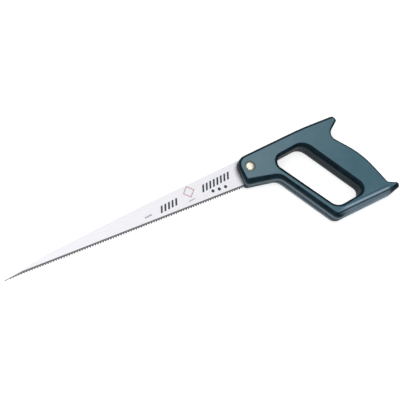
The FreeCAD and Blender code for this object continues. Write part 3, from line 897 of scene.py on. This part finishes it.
def nut():
    """Flat-headed tube nut in the far half, with a screwdriver slot."""
    low, high = nut_low.z, nut_high.z
    head, barrel, bore = 6.0 * MM, 3.5 * MM, 2.5 * MM
    floor = low + 8.8 * MM
    shoulder = low + 1.8 * MM
    profile = [(0.0, low), (head - 0.4 * MM, low), (head - 0.1 * MM, low + 0.12 * MM), (head, low + 0.4 * MM),
               (head, shoulder - 0.2 * MM), (head - 0.2 * MM, shoulder), (barrel, shoulder),
               (barrel, high - 0.3 * MM), (barrel - 0.3 * MM, high), (bore + 0.2 * MM, high),
               (bore, high - 0.2 * MM), (bore, floor + 1.0 * MM), (0.0, floor)]
    piece = new_piece("brass_nut", [(turned_grid(profile, SCREW_X, SCREW_Y, 64), True)], sharp=TURNED_SHARP)
    slot_low = (SCREW_X - 8 * MM, SCREW_Y - 0.65 * MM, low - 1.0 * MM)
    slot_high = (SCREW_X + 8 * MM, SCREW_Y + 0.65 * MM, low + 0.9 * MM)
    return cut(piece, block("nut_slot", slot_low, slot_high, math.radians(-35.0), (SCREW_X, SCREW_Y)))


def shell_screw_grids(x, y):
    """Pan head, threaded shank and point, from the head up into the handle."""
    head, shank = 3.2 * MM, 1.75 * MM
    seat = REST_Z + HEAD_SEAT
    low = seat - 2.2 * MM
    tip = seat + 15.0 * MM
    core = shank - 0.45 * MM
    t = np.linspace(0.0, np.pi / 2.0, 9)
    pan = [(head * math.sin(v), low + 0.8 * MM * (1.0 - math.cos(v))) for v in t]
    lower = pan + [(head, seat - 0.1 * MM), (head - 0.1 * MM, seat), (shank, seat), (core, seat + 0.6 * MM)]
    upper = [(core, tip - 2.0 * MM), (0.0, tip)]
    thread = threaded_grid(shank, seat + 0.6 * MM, tip - 2.0 * MM, x, y, 1.3 * MM, 0.45 * MM, 32)
    return [turned_grid(lower, x, y, 32), thread, turned_grid(upper, x, y, 32)]


def shell_screw(number, spot):
    """One shell screw, with two crossed slots cut in its head and turned by its number."""
    x, y = place(spot)
    piece = new_piece(f"shell_screw_{number}", [(grid, True) for grid in shell_screw_grids(x, y)],
                      sharp=TURNED_SHARP)
    low, high = REST_Z + HEAD_SEAT - 3.0 * MM, REST_Z + HEAD_SEAT - 0.9 * MM
    for turn in (0.3 + number, 0.3 + number + math.pi / 2.0):
        ends = (x - 2 * MM, y - 0.45 * MM, low), (x + 2 * MM, y + 0.45 * MM, high)
        cut(piece, block("cross", *ends, turn, (x, y)))
    return piece


settle(brass_screw(), LIT_BRASS, "screw", "brass", "blade_screw")
settle(cup(), SHADED_BRASS, "washer", "brass", "cup_washer")
settle(nut(), SHADED_BRASS, "handle", "brass", "post_nut")
for number, spot in enumerate(SHELL_SCREW_SPOTS, 1):
    nodes = ["shell_screws"] if number == 1 else []
    settle(shell_screw(number, spot), ZINC, "handle", "zinc_steel", *nodes)

# %% [markdown]
# ## Printed marks
# The blade carries small screen-printed marks. Here they are plain shapes with no lettering: two rows of
# slanted stripes, three dots and a pale red diamond. Ink has a little thickness, so each mark is a low
# island that stands on the steel and rides with it.

# %% Printed marks
INK = 0.02 * MM
INK_ROOT = 0.05 * MM


def ring_grid(outer, inner):
    """Flat band between two loops with the same count of points, given an edge and a root in the steel."""
    z = blade_high.z
    levels = [(outer, z - INK_ROOT), (outer, z + INK), (inner, z + INK), (inner, z - INK_ROOT),
              (outer, z - INK_ROOT)]
    return np.stack([np.column_stack([place(loop), np.full(len(loop), level)]) for loop, level in levels])


def bar_loop(centre, length, height, tilt, radius):
    """Outline of a bar with round ends, turned about its middle."""
    a, b = length / 2.0, height / 2.0
    loop = rounded_loop([(-a, -b, radius), (a, -b, radius), (a, b, radius), (-a, b, radius)])
    c, s = math.cos(tilt), math.sin(tilt)
    return loop @ np.array([[c, s], [-s, c]]) + np.array(centre)


def solid_grid(loop):
    """Low island over one loop. The levels are filled when the piece is made."""
    z = blade_high.z
    levels = (z - INK_ROOT, z + INK)
    return np.stack([np.column_stack([place(loop), np.full(len(loop), level)]) for level in levels])


def mark(name, finish, rings=(), solids=()):
    """One printed piece made of bands between loops, or of filled loops."""
    surfaces = [(ring_grid(*pair), True) for pair in rings] + [(solid_grid(loop), True) for loop in solids]
    levels = (blade_high.z - INK_ROOT, blade_high.z + INK) if solids else ()
    return settle(new_piece(name, surfaces, levels), finish, "blade", "blade_steel")


def slanted_row(centre, height, count):
    """Loops of a row of equal slanted stripes, spaced evenly along a tilted line through the centre.
    Each is a bar whose top is moved along by its height times the tangent of the slant."""
    b, half = height / 2.0, STRIPE / 2.0
    shift = b * math.tan(SLANT)
    bar = rounded_loop([(-half - shift, -b, 0.4), (half - shift, -b, 0.4), (half + shift, b, 0.4),
                        (-half + shift, b, 0.4)])
    offset = (np.arange(count) - (count - 1) / 2.0) * STRIPE_STEP
    c, s = math.cos(TILT), math.sin(TILT)
    return [(bar + (o, 0.0)) @ np.array([[c, s], [-s, c]]) + np.array(centre) for o in offset]


def disc(centre, radius):
    """Loop of 40 points at one radius from the centre."""
    angle = np.linspace(0.0, 2.0 * np.pi, 40, endpoint=False)
    return np.stack([centre[0] + radius * np.cos(angle), centre[1] + radius * np.sin(angle)], -1)


def diamond(centre, reach):
    """Square standing on its corner."""
    x, y = centre
    return rounded_loop([(x, y - reach, 0.3), (x + reach, y, 0.3), (x, y + reach, 0.3), (x - reach, y, 0.3)])


TILT = math.radians(6.0)
SLANT = math.radians(28.0)
STRIPE, STRIPE_STEP = 2.5, 4.9
LONG_ROW = (-31.0, 17.2)
SHORT_ROW = (-94.5, 11.0)
DIAMOND = (-66.0, 17.8)
mark("long_stripes", DARK_INK, solids=slanted_row(LONG_ROW, 8.4, 8))
mark("short_stripes", DARK_INK, solids=slanted_row(SHORT_ROW, 7.8, 5))
mark("dot_marks", DARK_INK, solids=[disc(spot, 1.95) for spot in [(-38.6, 8.3), (-30.5, 7.8), (-22.3, 7.7)]])
mark("diamond_mark", RED_INK, rings=[(diamond(DIAMOND, 7.5), diamond(DIAMOND, 5.9))])
mark("faint_bars", PALE_INK, solids=[bar_loop((-66.5, 7.4), 9.0, 1.1, TILT, 0.5),
                                     bar_loop((-122.0, 8.0), 9.5, 1.6, TILT, 0.7)])
print("marks done")

# %% [markdown]
# ## Last update
# The view layer is updated once more, so that every piece's place is current. The finished
# surfaces have to stay inside the CAD model's box.

# %% Update the view layer
bpy.context.view_layer.update()
